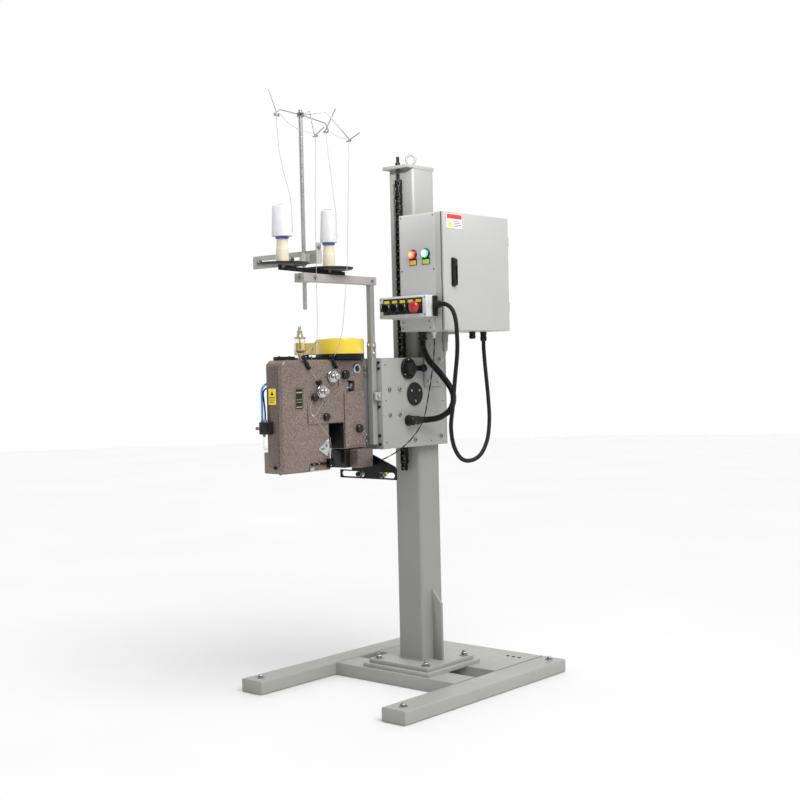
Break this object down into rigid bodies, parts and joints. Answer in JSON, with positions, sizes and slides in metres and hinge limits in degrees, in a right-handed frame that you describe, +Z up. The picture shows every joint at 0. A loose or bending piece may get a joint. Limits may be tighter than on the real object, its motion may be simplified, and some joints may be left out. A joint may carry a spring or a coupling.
{
  "type": "bag closer sewing machine",
  "caption": "Column-mounted bag closing sewing machine: floor frame, chain lift carriage, sewing head with belt drive, thread cone stand, switch cabinet and control box.",
  "frame": {"origin": "on the floor under the centre of the column", "axes": "+Z up, -Y towards the sewing head and the operator, +X the side that the bags pass and that the cabinet door faces"},
  "size_m": [0.652, 1.0189, 1.7284],
  "materials": {
    "frame_paint": "semi-gloss",
    "cabinet_paint": "fine textured",
    "hammertone": "hammered",
    "yellow_paint": "gloss",
    "steel": "machined",
    "stand_steel": "satin",
    "chrome": "polished",
    "brass": "satin",
    "black_steel": "satin",
    "chain_steel": "oiled",
    "black_plastic": "moulded",
    "tray_plastic": "moulded",
    "rubber": "matt",
    "motor_grey": "satin",
    "red_plastic": "gloss",
    "box_plastic": "moulded",
    "cone_thread": "wound thread",
    "thread": "twisted thread"
  },
  "bodies": {
    "frame": {"base_left_leg": "frame_paint", "base_right_leg": "frame_paint", "base_deck": "frame_paint", "column_flange": "frame_paint", "column": "frame_paint", "lifting_eye": "frame_paint", "chain_anchor_rod": "black_steel", "lift_chain": "chain_steel"},
    "carriage": {"carriage_channel": "frame_paint", "carriage_side_plate": "frame_paint", "drive_cover": "black_plastic", "column_lock": "black_plastic", "lift_gearmotor": "motor_grey", "cabinet_bracket": "frame_paint", "conduit_elbow": "black_plastic", "head_casting": "hammertone", "feed_housing": "hammertone", "head_mount_block": "motor_grey", "motor_plate": "black_steel", "sewing_motor": "motor_grey", "drive_belt": "rubber", "belt_guard": "yellow_paint", "oil_cup": "brass", "sensor_bracket": "black_steel", "stand_upright": "stand_steel", "stand_arm": "stand_steel", "stand_post": "steel", "tray_bar": "black_steel", "slotted_bar": "stand_steel", "cone_tray_left": "tray_plastic", "cone_tray_right": "tray_plastic", "thread_cone_left": "cone_thread", "thread_cone_right": "cone_thread", "thread_guides": "steel", "cabinet_body": "cabinet_paint", "mounting_plate": "steel", "control_box": "box_plastic", "control_bracket": "cabinet_paint", "control_cable": "rubber", "head_conduit": "rubber", "sensor_cable": "rubber", "needle_thread_left": "thread", "needle_thread_right": "thread"},
    "guide_roller_upper": {"guide_roller_upper": "steel"},
    "guide_roller_lower": {"guide_roller_lower": "steel"},
    "lift_sprocket": {"lift_sprocket": "steel"},
    "lock_knob": {"lock_knob": "black_plastic"},
    "head_pulley": {"head_pulley": "black_steel"},
    "motor_pulley": {"motor_pulley": "black_steel"},
    "needle_bar": {"needle_bar": "steel"},
    "presser_foot": {"presser_foot": "black_steel"},
    "tension_unit_upper": {"tension_unit_upper": "chrome"},
    "tension_unit_lower": {"tension_unit_lower": "chrome"},
    "cabinet_door": {"cabinet_door": "cabinet_paint"},
    "door_latch": {"door_latch": "black_plastic"},
    "selector_switch_1": {"selector_switch_1": "black_plastic"},
    "selector_switch_2": {"selector_switch_2": "black_plastic"},
    "selector_switch_3": {"selector_switch_3": "black_plastic"},
    "selector_switch_4": {"selector_switch_4": "black_plastic"},
    "emergency_stop": {"emergency_stop": "red_plastic"}
  },
  "joints": [
    {"name": "carriage_lift", "type": "slide", "parent": "frame", "child": "carriage", "axis": [0, 0, 1], "range_m": [-0.2, 0.3]},
    {"name": "sprocket_turn", "type": "hinge", "parent": "carriage", "child": "lift_sprocket", "pos_m": [0, -0.09581, 0.889], "axis": [1, 0, 0], "range_deg": [-520, 350]},
    {"name": "upper_roller_turn", "type": "hinge", "parent": "carriage", "child": "guide_roller_upper", "pos_m": [0, -0.0783, 0.965], "axis": [1, 0, 0], "range_deg": [-620, 415]},
    {"name": "lower_roller_turn", "type": "hinge", "parent": "carriage", "child": "guide_roller_lower", "pos_m": [0, -0.0783, 0.765], "axis": [1, 0, 0], "range_deg": [-620, 415]},
    {"name": "lock_knob_turn", "type": "hinge", "parent": "carriage", "child": "lock_knob", "pos_m": [0.0936, -0.08, 0.966], "axis": [1, 0, 0], "range_deg": [-180, 180]},
    {"name": "door_swing", "type": "hinge", "parent": "carriage", "child": "cabinet_door", "pos_m": [0.229, 0.1815, 1.24825], "axis": [0, 0, 1], "range_deg": [0, 110]},
    {"name": "latch_lift", "type": "hinge", "parent": "cabinet_door", "child": "door_latch", "pos_m": [0.2443, -0.1, 1.284], "axis": [0, -1, 0], "range_deg": [0, 60]},
    {"name": "selector_1_turn", "type": "hinge", "parent": "carriage", "child": "selector_switch_1", "pos_m": [0.059, -0.1933, 1.144], "axis": [0, -1, 0], "range_deg": [-45, 45]},
    {"name": "selector_2_turn", "type": "hinge", "parent": "carriage", "child": "selector_switch_2", "pos_m": [0.0895, -0.1933, 1.144], "axis": [0, -1, 0], "range_deg": [-45, 45]},
    {"name": "selector_3_turn", "type": "hinge", "parent": "carriage", "child": "selector_switch_3", "pos_m": [0.12, -0.1933, 1.144], "axis": [0, -1, 0], "range_deg": [-45, 45]},
    {"name": "selector_4_turn", "type": "hinge", "parent": "carriage", "child": "selector_switch_4", "pos_m": [0.1505, -0.1933, 1.144], "axis": [0, -1, 0], "range_deg": [-45, 45]},
    {"name": "stop_press", "type": "slide", "parent": "carriage", "child": "emergency_stop", "axis": [0, 1, 0], "range_m": [0, 0.006], "stiffness_N_per_m": 1200},
    {"name": "head_pulley_turn", "type": "hinge", "parent": "carriage", "child": "head_pulley", "pos_m": [0.01, -0.35, 1.025], "axis": [0, 0, 1], "continuous": true},
    {"name": "motor_pulley_turn", "type": "hinge", "parent": "carriage", "child": "motor_pulley", "pos_m": [-0.115, -0.36, 1.025], "axis": [0, 0, 1], "continuous": true},
    {"name": "needle_stroke", "type": "slide", "parent": "carriage", "child": "needle_bar", "axis": [0, 1, 0], "range_m": [-0.033, 0.012]},
    {"name": "presser_lift", "type": "slide", "parent": "carriage", "child": "presser_foot", "axis": [0, -1, 0], "range_m": [0, 0.008], "stiffness_N_per_m": 800},
    {"name": "upper_tension_turn", "type": "hinge", "parent": "carriage", "child": "tension_unit_upper", "pos_m": [0.0453, -0.426, 0.948], "axis": [1, 0, 0], "range_deg": [-180, 180]},
    {"name": "lower_tension_turn", "type": "hinge", "parent": "carriage", "child": "tension_unit_lower", "pos_m": [0.0453, -0.471, 0.906], "axis": [1, 0, 0], "range_deg": [-180, 180]}
  ],
  "couplings": [
    {"joint": "sprocket_turn", "follows": "carriage_lift", "rad_per_m": -29.984},
    {"joint": "upper_roller_turn", "follows": "carriage_lift", "rad_per_m": -35.714},
    {"joint": "lower_roller_turn", "follows": "carriage_lift", "rad_per_m": -35.714},
    {"joint": "motor_pulley_turn", "follows": "head_pulley_turn", "ratio": 2.75}
  ]
}
